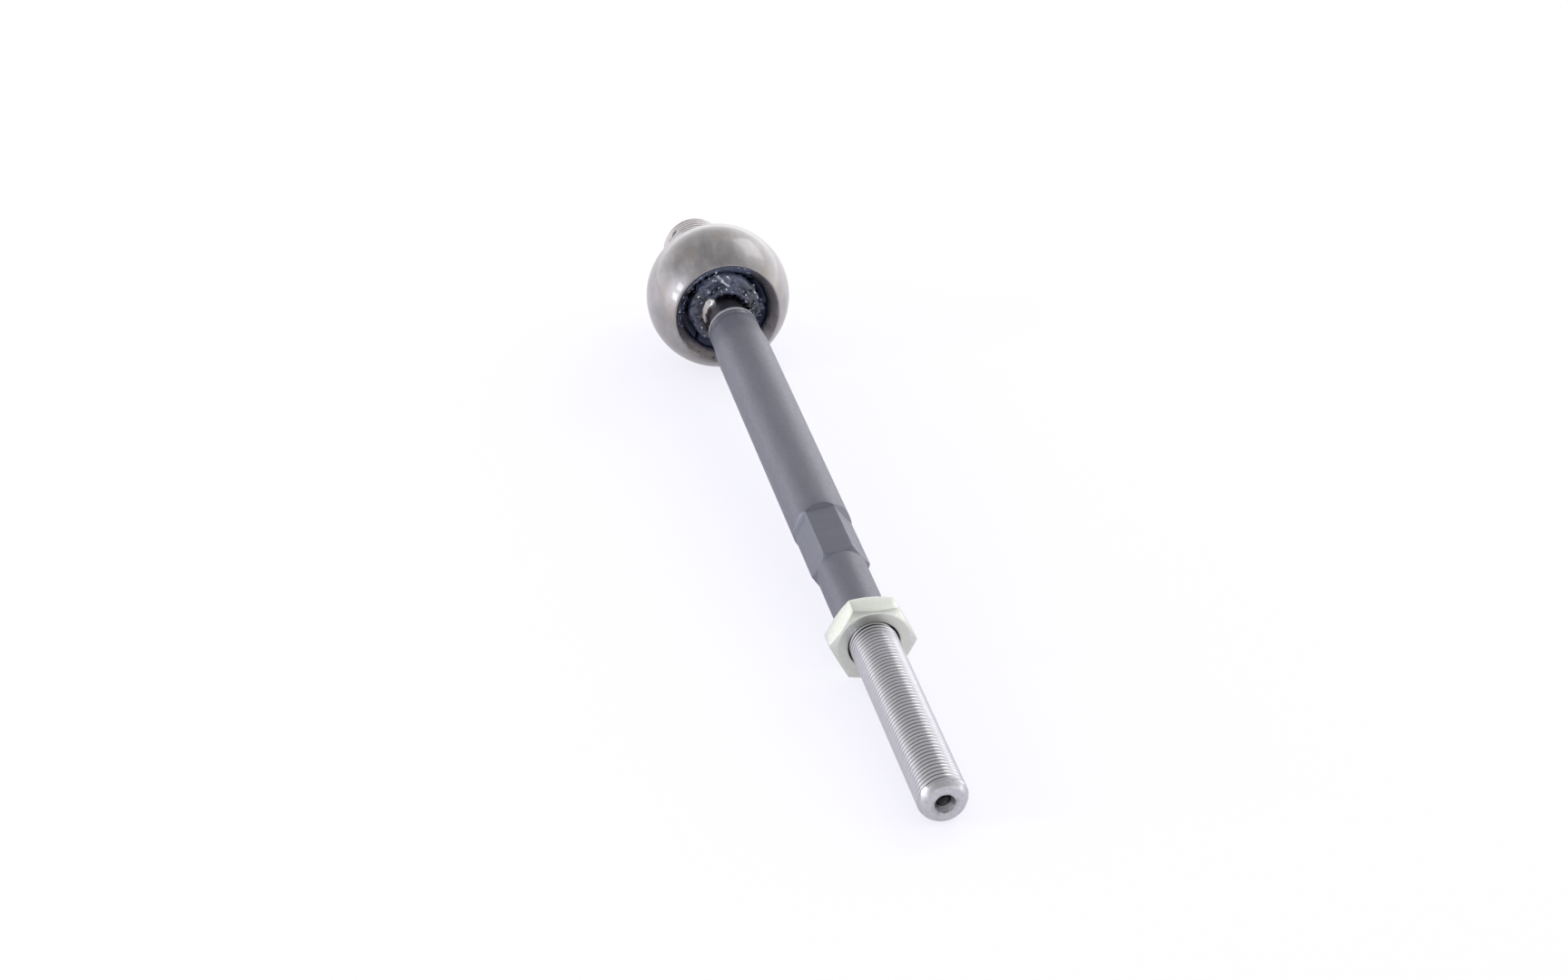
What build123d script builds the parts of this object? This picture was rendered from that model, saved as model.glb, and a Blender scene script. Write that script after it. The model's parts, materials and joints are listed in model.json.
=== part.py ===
from build123d import *
import math
import os

# An inner tie rod with an axial ball joint, lying as it comes to rest on a flat surface.
# Lengths are in millimetres and angles in degrees.
# The housing's axis is parallel to X, the rod points towards +X and the surface is Z = 0.
# Places along the rod are measured from the ball's centre, u, and the same holds for h in the housing.

# Ball and neck of the shaft, where the ball takes the room that the housing's wall and the seat leave
pole_flat_depth = 0.8
neck_diameter = 10.4
ball_fillet = 2.5
neck_flare = 4.5

# Collar, waist and shank of the shaft
ball_to_collar = 21.2
collar_length = 3.1
collar_diameter = 14.1
collar_crown = 0.3
collar_crown_place = 0.38
collar_step = 0.2
waist_diameter = 14.2
waist_length = 2.6
flare_length = 9.6
shank_diameter = 15.3

# Spanner flats near the threaded end
hex_across_flats = 13.0
ball_to_hex = 131.5
hex_length = 20.7
hex_turn = 8.0
plain_neck_diameter = 12.9

# Adjusting thread, as the plain cylinder over its crests
thread_diameter = 12.0
ball_to_thread = 176.8
ball_to_tip = 249.6
thread_start_chamfer = 0.45
tip_chamfer_length = 2.2
tip_chamfer_depth = 1.7
tip_chamfer_left = 0.36
centre_hole_diameter = 3.2
centre_hole_depth = 5.0
centre_bevel_diameter = 5.0
centre_half_angle = 30.0

# The one valley of the thread that is cut here, in front of the lock nut
valley_to_ball = 185.43
valley_width = 1.09
valley_depth = 0.7

# Housing, with the rim and the throat of its mouth given as angles off the axis at the ball's centre
housing_diameter = 41.2
housing_wall = 4.98
rim_angle = 48.6
rim_land = 0.45
rim_land_rise = 0.18
throat_angle = 50.2
shoulder_diameter = 25.0
grease_pocket_diameter = 10.0
grease_pocket_depth = 1.4
drill_half_angle = 59.0

# Rack stud on the back of the housing
stud_diameter = 18.0
stud_length = 21.6
stud_chamfer = 1.3
stud_relief_diameter = 15.8
stud_relief_length = 2.4
notch_length = 3.6
notch_width = 0.9
notch_depth = 0.7
notch_to_end = 5.6
notch_turn = 52.0
notch_slant = 28.0

# Plastic seat between the ball and the housing
seat_thickness = 2.54
seat_lip_lean = 4.8
seat_slots = 8
seat_slot_width = 1.2
seat_slot_reach = 6.0

# Lock nut
nut_across_flats = 19.0
nut_thickness = 7.0
nut_to_thread_start = 1.2
nut_turn = -2.0
nut_bevel = 0.75
nut_chamfer_angle = 30.0
nut_washer_face = 0.94

# Grease in the mouth
grease_to_throat_angle = 5.2
grease_to_neck_angle = 1.2
grease_crest_angle = 5.0
grease_crest_lift = 0.28
grease_brow_angle = 2.6
grease_brow_drop = 0.9
grease_nape_angle = 0.4
wall_grease_thickness = 0.9
wall_grease_clearance = 0.05
wall_grease_edge = 0.3
wall_grease_from = -40.0
wall_grease_to = 112.0

# Clearances
ball_clearance = 0.05
seat_clearance = 0.03
thread_clearance = 0.05
grease_clearance = 0.1
swing_clearance = 0.3

housing_radius = housing_diameter / 2
pocket_radius = housing_radius - housing_wall
ball_radius = pocket_radius - seat_clearance - seat_thickness - ball_clearance
neck_radius = neck_diameter / 2
tip_contact = ball_to_tip - tip_chamfer_length
nut_start = ball_to_thread + nut_to_thread_start
nut_end = nut_start + nut_thickness


def slope_to_touch(place, radius):
    """Angle below the housing's axis at which a round of this radius, this far along the rod,
    touches the surface that the housing stands on."""
    reach = math.hypot(place, radius)
    return math.degrees(math.asin(housing_radius / reach) - math.atan2(radius, place))


def rest_slope():
    """The rod sinks until its threaded tip or a corner of the nut meets the surface."""
    corner = nut_across_flats / math.sqrt(3)
    corner_reach = corner * math.cos(math.radians(30 - abs(nut_turn)))
    at_tip = slope_to_touch(tip_contact, thread_diameter / 2)
    at_nut = slope_to_touch(nut_end, corner_reach)
    return min(at_tip, at_nut)


def spun(outline):
    """A closed outline of (along, out from the axis) turned about X."""
    return revolve(make_face(outline), Axis.X, 360)


def drill_point(diameter):
    """Length of the cone that a drill of this diameter leaves at the bottom of its hole."""
    return diameter / 2 / math.tan(math.radians(drill_half_angle))


def fillet_centre():
    """Centre of the fillet between the ball and the neck."""
    out = neck_radius + ball_fillet
    along = math.sqrt((ball_radius + ball_fillet) ** 2 - out ** 2)
    return along, out


def neck_flare_start():
    """Where the neck begins to flare out to the collar."""
    drop = neck_radius + neck_flare - collar_diameter / 2
    return ball_to_collar - math.sqrt(neck_flare ** 2 - drop ** 2)


def from_centre(radius, angle):
    """A point this far from the ball's centre, at this angle off the axis."""
    turn = math.radians(angle)
    return radius * math.cos(turn), radius * math.sin(turn)


def rim_inner():
    """Inner edge of the mouth's narrow land, where the flared wall begins."""
    along, out = from_centre(housing_radius, rim_angle)
    return along + rim_land_rise, out - rim_land


def mouth_wall_length():
    """Length of the flared wall from the throat to the rim."""
    return math.dist(rim_inner(), from_centre(pocket_radius, throat_angle))


def from_throat(distance, lift):
    """A point this far up the flared wall and this far off it, towards the axis."""
    foot = from_centre(pocket_radius, throat_angle)
    head = rim_inner()
    length = mouth_wall_length()
    way = ((head[0] - foot[0]) / length, (head[1] - foot[1]) / length)
    return foot[0] + way[0] * distance + way[1] * lift, foot[1] + way[1] * distance - way[0] * lift


def arc_middle(centre, radius, start, end):
    """Point of an arc half way between two of its points."""
    a = math.atan2(start[1] - centre[1], start[0] - centre[0])
    b = math.atan2(end[1] - centre[1], end[0] - centre[0])
    mid = (a + b) / 2
    return centre[0] + radius * math.cos(mid), centre[1] + radius * math.sin(mid)


def ball_and_neck_outline():
    """Pole flat, ball, fillet, neck and the flare up to the collar."""
    flat_place = -(ball_radius - pole_flat_depth)
    flat_radius = math.sqrt(ball_radius ** 2 - flat_place ** 2)
    along, out = fillet_centre()
    share = ball_radius / (ball_radius + ball_fillet)
    ball_end = (along * share, out * share)
    neck_start = (along, neck_radius)
    flare_start = (neck_flare_start(), neck_radius)
    flare_centre = (flare_start[0], neck_radius + neck_flare)
    collar_start = (ball_to_collar, collar_diameter / 2)
    fillet_mid = arc_middle((along, out), ball_fillet, ball_end, neck_start)
    flare_mid = arc_middle(flare_centre, neck_flare, flare_start, collar_start)
    return [
        Line((flat_place, 0), (flat_place, flat_radius)),
        ThreePointArc((flat_place, flat_radius), (0, ball_radius), ball_end),
        ThreePointArc(ball_end, fillet_mid, neck_start),
        Line(neck_start, flare_start),
        ThreePointArc(flare_start, flare_mid, collar_start),
    ]


def collar_and_shank_outline():
    """Crowned collar, the fine step where the dark finish starts, the waist and the shank."""
    collar_start = (ball_to_collar, collar_diameter / 2)
    collar_end = (ball_to_collar + collar_length, collar_diameter / 2 - collar_step)
    crown = (ball_to_collar + collar_length * collar_crown_place, collar_diameter / 2 + collar_crown)
    waist_start = (collar_end[0] + collar_step, waist_diameter / 2)
    waist_end = (waist_start[0] + waist_length, waist_diameter / 2)
    shank_start = (waist_end[0] + flare_length, shank_diameter / 2)
    cone = (shank_diameter - plain_neck_diameter) / 2
    hex_end = ball_to_hex + hex_length
    return [
        ThreePointArc(collar_start, crown, collar_end),
        Line(collar_end, waist_start),
        Line(waist_start, waist_end),
        Spline(waist_end, shank_start, tangents=[(1, 0), (1, 0)]),
        Line(shank_start, (hex_end - cone, shank_diameter / 2)),
        Line((hex_end - cone, shank_diameter / 2), (hex_end, plain_neck_diameter / 2)),
    ]


def threaded_end_outline():
    """Plain neck, thread as a plain cylinder with one valley, rounded tip and back along the axis."""
    hex_end = ball_to_hex + hex_length
    crest = thread_diameter / 2
    face = crest - tip_chamfer_depth
    thread_start = ball_to_thread + thread_start_chamfer
    flat_place = -(ball_radius - pole_flat_depth)
    corners = [
        (hex_end, plain_neck_diameter / 2),
        (ball_to_thread, plain_neck_diameter / 2),
        (thread_start, crest),
        (valley_to_ball, crest),
        (valley_to_ball + valley_width / 2, crest - valley_depth),
        (valley_to_ball + valley_width, crest),
        (tip_contact, crest),
    ]
    left = (tip_chamfer_length * tip_chamfer_left, tip_chamfer_depth * tip_chamfer_left)
    tip = ThreePointArc((tip_contact, crest), (ball_to_tip - left[0], crest - left[1]), (ball_to_tip, face))
    return [
        Polyline(*corners),
        tip,
        Line((ball_to_tip, face), (ball_to_tip, 0)),
        Line((ball_to_tip, 0), (flat_place, 0)),
    ]


def flat_cutter():
    """One spanner flat, with the sloping run-out that the cutter leaves on the ball's side."""
    flat = hex_across_flats / 2
    top = shank_diameter
    profile = make_face(Polyline(
        (ball_to_hex, flat),
        (ball_to_hex + hex_length + 1, flat),
        (ball_to_hex + hex_length + 1, top),
        (ball_to_hex - (top - flat), top),
        (ball_to_hex, flat),
    ))
    return extrude(Plane.XZ * profile, shank_diameter / 2, both=True)


def centre_hole():
    """Lathe centre in the tip: a bevelled mouth and a drilled hole."""
    widening = math.tan(math.radians(centre_half_angle))
    bevel = (centre_bevel_diameter - centre_hole_diameter) / 2 / widening
    bottom = ball_to_tip - centre_hole_depth
    point = bottom - drill_point(centre_hole_diameter)
    past = ball_to_tip + centre_hole_diameter
    mouth = centre_bevel_diameter / 2 + centre_hole_diameter * widening
    return spun(Polyline(
        (point, 0),
        (bottom, centre_hole_diameter / 2),
        (ball_to_tip - bevel, centre_hole_diameter / 2),
        (past, mouth),
        (past, 0),
        (point, 0),
    ))


def make_shaft():
    """Ball, neck, shank, spanner flats and threaded end, forged and turned in one piece."""
    shaft = spun(ball_and_neck_outline() + collar_and_shank_outline() + threaded_end_outline())
    cutter = flat_cutter()
    for turn in range(6):
        shaft -= Rot(X=60 * turn + hex_turn) * cutter
    return shaft - centre_hole()


def make_housing():
    """Round housing with a flared mouth, a ball pocket and a threaded stud on its back."""
    rim = from_centre(housing_radius, rim_angle)
    throat = from_centre(pocket_radius, throat_angle)
    shoulder = -math.sqrt(housing_radius ** 2 - (shoulder_diameter / 2) ** 2)
    stud_end = shoulder - stud_length
    relief_end = shoulder - stud_relief_length
    relief_slope = (stud_diameter - stud_relief_diameter) / 2
    pocket_floor = -(pocket_radius + grease_pocket_depth)
    pocket_mouth = -math.sqrt(pocket_radius ** 2 - (grease_pocket_diameter / 2) ** 2)
    pocket_end = pocket_floor - drill_point(grease_pocket_diameter)
    outline = [
        Line((stud_end, 0), (stud_end, stud_diameter / 2 - stud_chamfer)),
        Line((stud_end, stud_diameter / 2 - stud_chamfer), (stud_end + stud_chamfer, stud_diameter / 2)),
        Line((stud_end + stud_chamfer, stud_diameter / 2), (relief_end - relief_slope, stud_diameter / 2)),
        Line((relief_end - relief_slope, stud_diameter / 2), (relief_end, stud_relief_diameter / 2)),
        Line((relief_end, stud_relief_diameter / 2), (shoulder, stud_relief_diameter / 2)),
        Line((shoulder, stud_relief_diameter / 2), (shoulder, shoulder_diameter / 2)),
        ThreePointArc((shoulder, shoulder_diameter / 2), (0, housing_radius), rim),
        Line(rim, rim_inner()),
        Line(rim_inner(), throat),
        ThreePointArc(throat, (0, pocket_radius), (pocket_mouth, grease_pocket_diameter / 2)),
        Line((pocket_mouth, grease_pocket_diameter / 2), (pocket_floor, grease_pocket_diameter / 2)),
        Line((pocket_floor, grease_pocket_diameter / 2), (pocket_end, 0)),
        Line((pocket_end, 0), (stud_end, 0)),
    ]
    return spun(outline) - stud_notch(stud_end)


def stud_notch(stud_end):
    """Small lock notch across the stud's thread, on the side away from the rod."""
    outline = Rot(Z=90 + notch_slant) * SlotOverall(notch_length, notch_width)
    tool = extrude(Pos(Z=stud_diameter / 2 - notch_depth) * outline, notch_depth * 2)
    return Pos(X=stud_end + notch_to_end) * Rot(X=notch_turn) * tool


def make_seat():
    """Plastic shell that wraps the ball past its middle, slotted so that it snaps over."""
    outer = pocket_radius - seat_clearance
    inner = ball_radius + ball_clearance
    front_outer = from_centre(outer, throat_angle)
    front_inner = from_centre(inner, throat_angle + seat_lip_lean)
    hole = grease_pocket_diameter / 2
    back_outer = (-math.sqrt(outer ** 2 - hole ** 2), hole)
    back_inner = (-math.sqrt(inner ** 2 - hole ** 2), hole)
    seat = spun([
        ThreePointArc(front_outer, (0, outer), back_outer),
        Line(back_outer, back_inner),
        ThreePointArc(back_inner, (0, inner), front_inner),
        Line(front_inner, front_outer),
    ])
    slot_start = front_inner[0] - seat_slot_reach
    slot = Pos(X=slot_start + outer / 2, Z=outer) * Box(outer, seat_slot_width, 2 * outer)
    slot += Pos(X=slot_start, Z=outer) * Cylinder(seat_slot_width / 2, 2 * outer)
    for turn in range(seat_slots):
        seat -= Rot(X=360 / seat_slots * turn) * slot
    return seat


def make_rear_grease():
    """Grease packed behind the ball, in the pocket and in the seat's hole."""
    radius = grease_pocket_diameter / 2 - grease_clearance
    floor = -(pocket_radius + grease_pocket_depth) + grease_clearance
    point = floor - drill_point(2 * radius)
    face = ball_radius + swing_clearance
    half_way = math.degrees(math.asin(radius / face)) / 2
    return spun([
        Line((point, 0), (floor, radius)),
        Line((floor, radius), (-math.sqrt(face ** 2 - radius ** 2), radius)),
        ThreePointArc(
            (-math.sqrt(face ** 2 - radius ** 2), radius),
            from_centre(face, 180 - half_way),
            (-face, 0),
        ),
        Line((-face, 0), (point, 0)),
    ])


def make_neck_grease():
    """Ring of grease on the front of the ball, round its neck."""
    along, out = fillet_centre()
    face = ball_radius + grease_clearance
    crest_radius = pocket_radius + grease_crest_lift
    back_angle = throat_angle - grease_to_throat_angle
    front_angle = math.degrees(math.atan2(out, along)) + grease_to_neck_angle
    back = from_centre(face, back_angle)
    front = from_centre(face, front_angle)
    crest = from_centre(crest_radius, back_angle - grease_crest_angle)
    brow = from_centre(crest_radius - grease_brow_drop, front_angle + grease_brow_angle)
    nape = from_centre((face + crest_radius) / 2, back_angle - grease_nape_angle)
    return spun([
        ThreePointArc(back, from_centre(face, (back_angle + front_angle) / 2), front),
        ThreePointArc(front, brow, crest),
        ThreePointArc(crest, nape, back),
    ])


def make_wall_grease():
    """Smear of grease on the flared wall of the mouth, over the part that the photo shows."""
    start = from_throat(wall_grease_edge, wall_grease_clearance)
    end = from_throat(mouth_wall_length() - wall_grease_edge, wall_grease_clearance)
    start_top = from_throat(wall_grease_edge, wall_grease_thickness)
    end_top = from_throat(mouth_wall_length() - 2 * wall_grease_edge, wall_grease_thickness)
    profile = make_face(Polyline(start, end, end_top, start_top, start))
    smear = revolve(profile, Axis.X, wall_grease_to - wall_grease_from)
    return Rot(X=wall_grease_from + 90) * smear


def make_nut():
    """Thin hexagon lock nut, chamfered on both faces and countersunk at both ends of its bore."""
    bore = thread_diameter / 2 + thread_clearance
    mouth = bore + nut_bevel
    sink = nut_bevel * math.tan(math.radians(nut_chamfer_angle))
    face = nut_across_flats / 2 * nut_washer_face
    past = nut_across_flats / math.sqrt(3) + nut_bevel
    rise = (past - face) * math.tan(math.radians(nut_chamfer_angle))
    turned = spun(Polyline(
        (0, mouth),
        (0, face),
        (rise, past),
        (nut_thickness - rise, past),
        (nut_thickness, face),
        (nut_thickness, mouth),
        (nut_thickness - sink, bore),
        (sink, bore),
        (0, mouth),
    ))
    hexagon = Plane.YZ * RegularPolygon(nut_across_flats / 2, 6, major_radius=False)
    return turned & extrude(hexagon, nut_thickness)


def report_places(ball_at, slope):
    """Print the places that mounts and joints need, in millimetres."""
    direction = Vector(1, 0, 0).rotate(Axis.Y, slope)
    shoulder = -math.sqrt(housing_radius ** 2 - (shoulder_diameter / 2) ** 2)
    print("slope", round(slope, 5))
    print("ball", ball_at)
    print("rod direction", direction)
    print("thread from", ball_to_thread + thread_start_chamfer, "to", tip_contact, "nut end", nut_end)
    print("shoulder", shoulder, "relief end", shoulder - stud_relief_length, "stud end", shoulder - stud_length)


def main():
    slope = rest_slope()
    along_rod = Rot(Y=slope)
    shaft = along_rod * make_shaft()
    housing = make_housing()
    low = housing.bounding_box().min.X
    high = shaft.bounding_box().max.X
    ball_at = Pos(X=-(low + high) / 2, Z=housing_radius)
    pieces = {
        "ball_housing": housing,
        "ball_seat": make_seat(),
        "rear_grease": make_rear_grease(),
        "wall_grease": make_wall_grease(),
        "neck_grease": along_rod * make_neck_grease(),
        "tie_rod_shaft": shaft,
        "lock_nut": along_rod * Pos(X=nut_start) * Rot(X=nut_turn) * make_nut(),
    }
    os.makedirs("parts", exist_ok=True)
    for name, piece in pieces.items():
        export_step(ball_at * piece, "parts/" + name + ".step")
    report_places(ball_at.position, slope)


main()
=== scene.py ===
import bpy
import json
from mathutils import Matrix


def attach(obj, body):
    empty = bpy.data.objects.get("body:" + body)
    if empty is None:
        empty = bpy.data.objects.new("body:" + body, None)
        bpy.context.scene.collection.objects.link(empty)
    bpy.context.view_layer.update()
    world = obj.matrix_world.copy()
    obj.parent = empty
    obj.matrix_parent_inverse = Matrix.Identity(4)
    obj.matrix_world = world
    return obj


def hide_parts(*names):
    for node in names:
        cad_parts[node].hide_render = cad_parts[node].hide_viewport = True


bl_info = {
    "name": "Tie rod looks",
    "version": (1, 0, 0),
    "blender": (4, 5, 0),
    "location": "View3D > Sidebar > Tie rod",
    "description": "Threads, finishes, grease and a plain studio for the packed tie rod",
    "category": "Mesh",
}

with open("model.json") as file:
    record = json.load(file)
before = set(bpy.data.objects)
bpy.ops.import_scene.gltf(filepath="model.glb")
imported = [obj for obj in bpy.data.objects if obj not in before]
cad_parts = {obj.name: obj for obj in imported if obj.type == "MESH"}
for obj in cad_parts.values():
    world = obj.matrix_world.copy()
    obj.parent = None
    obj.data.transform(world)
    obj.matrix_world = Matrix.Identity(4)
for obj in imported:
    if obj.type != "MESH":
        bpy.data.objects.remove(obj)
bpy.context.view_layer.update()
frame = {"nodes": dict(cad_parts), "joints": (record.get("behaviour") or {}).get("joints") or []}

import json
import math

import bmesh
import bpy
import numpy as np
from bpy.props import FloatProperty, FloatVectorProperty, IntProperty, PointerProperty
from mathutils import Matrix, Vector, kdtree, noise

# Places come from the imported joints. All the pieces below are drawn in millimetres, with the
# ball's centre at zero and the rod or the housing's axis along +X, and placed by these.
SPIN = next(joint for joint in frame["joints"] if joint["name"] == "rod_spin")
BALL = Vector(SPIN["pos_m"])
ROD = Vector(SPIN["axis"]).normalized()
SLOPE = math.asin(-ROD.z)
MM = 0.001
WELD = 0.0025      # Points closer than this, in millimetres, become one
DRILL_ANGLE = math.radians(59.0)      # Between a drill's point and its axis
SHARP = math.radians(20.0)      # Edges steeper than this are bevelled
CREASE = math.radians(24.0)      # Edges steeper than this stay sharp in the shading
HOUSING_PLACE = Matrix.Translation(BALL) @ Matrix.Scale(MM, 4)
ROD_PLACE = Matrix.Translation(BALL) @ Matrix.Rotation(SLOPE, 4, "Y") @ Matrix.Scale(MM, 4)


def length(name, description, default):
    """A size in millimetres."""
    return FloatProperty(name=name, description=description, default=default, min=0.0, precision=3)


def place(name, description, default):
    """A place along an axis in millimetres, which may be negative."""
    return FloatProperty(name=name, description=description, default=default, precision=3)


def angle(name, description, default):
    """An angle in degrees."""
    return FloatProperty(name=name, description=description, default=default, precision=2)


def colour(name, description, default):
    """A linear colour."""
    return FloatVectorProperty(
        name=name, description=description, default=default, size=3, subtype="COLOR", min=0.0, max=1.0)


class ShaftSizes(bpy.types.PropertyGroup):
    """Sizes of the shaft, measured along the rod from the ball's centre."""
    ball: length("Ball", "Radius of the ball", 13.0)
    pole_flat: length("Pole flat", "How much of the ball's pole is turned away", 0.8)
    neck: length("Neck", "Radius of the neck", 5.2)
    fillet: length("Fillet", "Fillet between the ball and the neck", 2.5)
    flare: length("Flare", "Radius of the flare up to the collar", 4.5)
    collar_at: place("Collar place", "Where the collar starts", 21.2)
    collar: length("Collar", "Radius of the collar's edge", 7.05)
    collar_length: length("Collar length", "Length of the collar", 3.1)
    collar_crown: length("Collar crown", "Height of the collar's crown", 0.15)
    collar_step: length("Collar step", "Fine step where the dark finish starts", 0.2)
    waist: length("Waist", "Radius behind the collar", 7.1)
    waist_length: length("Waist length", "Length of the waist", 2.6)
    taper: length("Taper", "Length over which the waist widens to the shank", 9.6)
    shank: length("Shank", "Radius of the shank", 7.65)
    flats_at: place("Flats place", "Where the spanner flats start", 131.5)
    flats_length: length("Flats length", "Length of the spanner flats", 20.7)
    flat: length("Flat", "Distance from the axis to a flat", 6.5)
    flats_turn: angle("Flats turn", "Turn of the flats about the rod", 8.0)
    plain: length("Plain neck", "Radius of the plain stretch before the thread", 6.45)
    thread_at: place("Thread place", "Where the plain stretch ends", 176.8)
    thread: length("Thread", "Radius over the thread's crests", 6.0)
    thread_root: length("Thread root", "Radius at the thread's root", 5.25)
    pitch: length("Pitch", "Pitch of the adjusting thread", 1.25)
    tip_at: place("Tip", "Where the rod ends", 249.6)
    tip_face: length("Tip face", "Radius of the flat end face", 4.3)
    tip_chamfer: length("Tip chamfer", "Length of the rounded tip", 2.2)
    tip_bare: length("Bare tip", "Length of the tip that has no thread", 1.35)
    crest_at: place("First crest", "Place of a crest on the rod's upper side", 187.85)
    hole: length("Centre hole", "Radius of the lathe centre", 1.6)
    hole_mouth: length("Centre hole mouth", "Radius of the lathe centre's bevelled mouth", 2.5)
    hole_depth: length("Centre hole depth", "Depth of the lathe centre to the end of its drilled wall", 5.0)
    edge: length("Edge", "Bevel of the sharp edges", 0.07)


class HousingSizes(bpy.types.PropertyGroup):
    """Sizes of the housing and its stud, measured along the housing from the ball's centre."""
    radius: length("Radius", "Radius of the round housing", 20.6)
    pocket: length("Pocket", "Radius of the ball pocket", 15.62)
    rim_angle: angle("Rim angle", "Angle of the rim off the axis", 48.6)
    rim_land: length("Rim land", "Width of the rim's narrow land", 0.45)
    rim_rise: length("Rim rise", "How far the land's inner edge stands forward", 0.18)
    throat_angle: angle("Throat angle", "Angle of the throat off the axis", 50.2)
    shoulder: length("Shoulder", "Radius of the flat shoulder behind the housing", 12.5)
    bore: length("Grease pocket", "Radius of the grease pocket behind the ball", 5.0)
    bore_depth: length("Grease pocket depth", "Depth of the grease pocket", 1.4)
    relief: length("Relief", "Radius of the relief behind the shoulder", 7.9)
    relief_length: length("Relief length", "Length of the relief", 2.4)
    stud: length("Stud", "Radius over the stud's crests", 9.0)
    stud_root: length("Stud root", "Radius at the root of the stud's thread", 8.08)
    stud_pitch: length("Stud pitch", "Pitch of the stud's thread", 1.5)
    stud_length: length("Stud length", "Length of the stud", 21.6)
    stud_chamfer: length("Stud chamfer", "Chamfer at the stud's end", 1.3)
    notch_length: length("Notch length", "Length of the lock notch", 4.8)
    notch_width: length("Notch width", "Width of the lock notch", 0.9)
    notch_depth: length("Notch depth", "Depth of the lock notch", 0.7)
    notch_to_end: length("Notch to end", "From the stud's end to the notch", 5.6)
    notch_turn: angle("Notch turn", "Turn of the notch about the stud", 52.0)
    notch_slant: angle("Notch slant", "Slant of the notch", 28.0)
    edge: length("Edge", "Bevel of the sharp edges", 0.10)


class NutSizes(bpy.types.PropertyGroup):
    """Sizes of the lock nut, measured along the rod from the ball's centre."""
    start: place("Place", "Where the nut's first face is", 178.0)
    thickness: length("Thickness", "Thickness of the nut", 7.0)
    flat: length("Flat", "Distance from the axis to a flat", 9.5)
    turn: angle("Turn", "Turn of the nut about the rod", -2.0)
    face: length("Face", "Radius of the round face inside the corner chamfers", 8.93)
    chamfer: angle("Chamfer", "Slope of the corner chamfers", 30.0)
    mouth: length("Mouth", "Radius of the countersunk mouth", 6.5)
    crest: length("Crest", "Radius over the inner thread's crests", 5.32)
    root: length("Root", "Radius at the inner thread's root", 6.08)
    sink: length("Countersink", "Depth of the countersink", 0.45)
    edge: length("Edge", "Bevel of the sharp edges", 0.16)


class GreaseSizes(bpy.types.PropertyGroup):
    """Sizes of the grease in the mouth. Angles are off the axis at the ball's centre."""
    ball_gap: length("Ball gap", "Gap between the grease and the ball", 0.06)
    ring_front: angle("Ring front", "Angle of the ring's front edge", 31.4)
    ring_back: angle("Ring back", "Angle of the ring's back edge", 44.0)
    ring_height: length("Ring height", "Height of the ring over the ball at the top", 3.1)
    overhang: angle("Overhang", "How far the ring leans back over the seat's lip at the top", 3.0)
    film: length("Film", "Thickness of the smear on the wall", 0.36)
    film_from: angle("Smear from", "Turn at which the smear starts", -38.0)
    film_to: angle("Smear to", "Turn at which the smear ends", 110.0)
    bridge: length("Bridge", "How far the smear reaches in from the throat", 0.6)
    voxel: length("Detail", "Size of the grease's finest facets", 0.17)
    seed: IntProperty(name="Seed", description="Changes where the lumps lie", default=7)


class Colours(bpy.types.PropertyGroup):
    """Base colours of the finishes."""
    housing: colour("Housing", "Bare turned steel of the housing", (0.315, 0.300, 0.308))
    mouth: colour("Mouth", "Oily wall of the mouth", (0.330, 0.305, 0.315))
    coat: colour("Coat", "Dark blue-grey finish of the shank", (0.086, 0.089, 0.126))
    bright: colour("Bright steel", "Polished neck", (0.36, 0.35, 0.36))
    thread: colour("Thread", "Rolled thread", (0.44, 0.435, 0.46))
    zinc: colour("Zinc", "Pale zinc on the nut", (0.64, 0.65, 0.625))
    grease: colour("Grease", "Navy grease", (0.020, 0.026, 0.055))
    plastic: colour("Plastic", "Ball seat", (0.50, 0.48, 0.42))
    floor: colour("Floor", "Pale floor", (0.74, 0.73, 0.80))


class TieRodLooks(bpy.types.PropertyGroup):
    """Everything that the sidebar shows."""
    shaft: PointerProperty(type=ShaftSizes)
    housing: PointerProperty(type=HousingSizes)
    nut: PointerProperty(type=NutSizes)
    grease: PointerProperty(type=GreaseSizes)
    colours: PointerProperty(type=Colours)
    segments: IntProperty(
        name="Segments", description="Segments round the rod and the nut", default=72, min=24)
    housing_segments: IntProperty(
        name="Housing segments", description="Segments round the housing", default=144, min=48)


def looks():
    return bpy.context.scene.tie_rod


# Nodes

def operation(name, swapped=False):
    """A method that adds a Math node."""
    def method(self, other=None):
        parts = (other, self) if swapped else (self, other)
        values = {index: part for index, part in enumerate(parts) if part is not None}
        return self.tree.wire("ShaderNodeMath", {"operation": name}, values)
    return method


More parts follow.
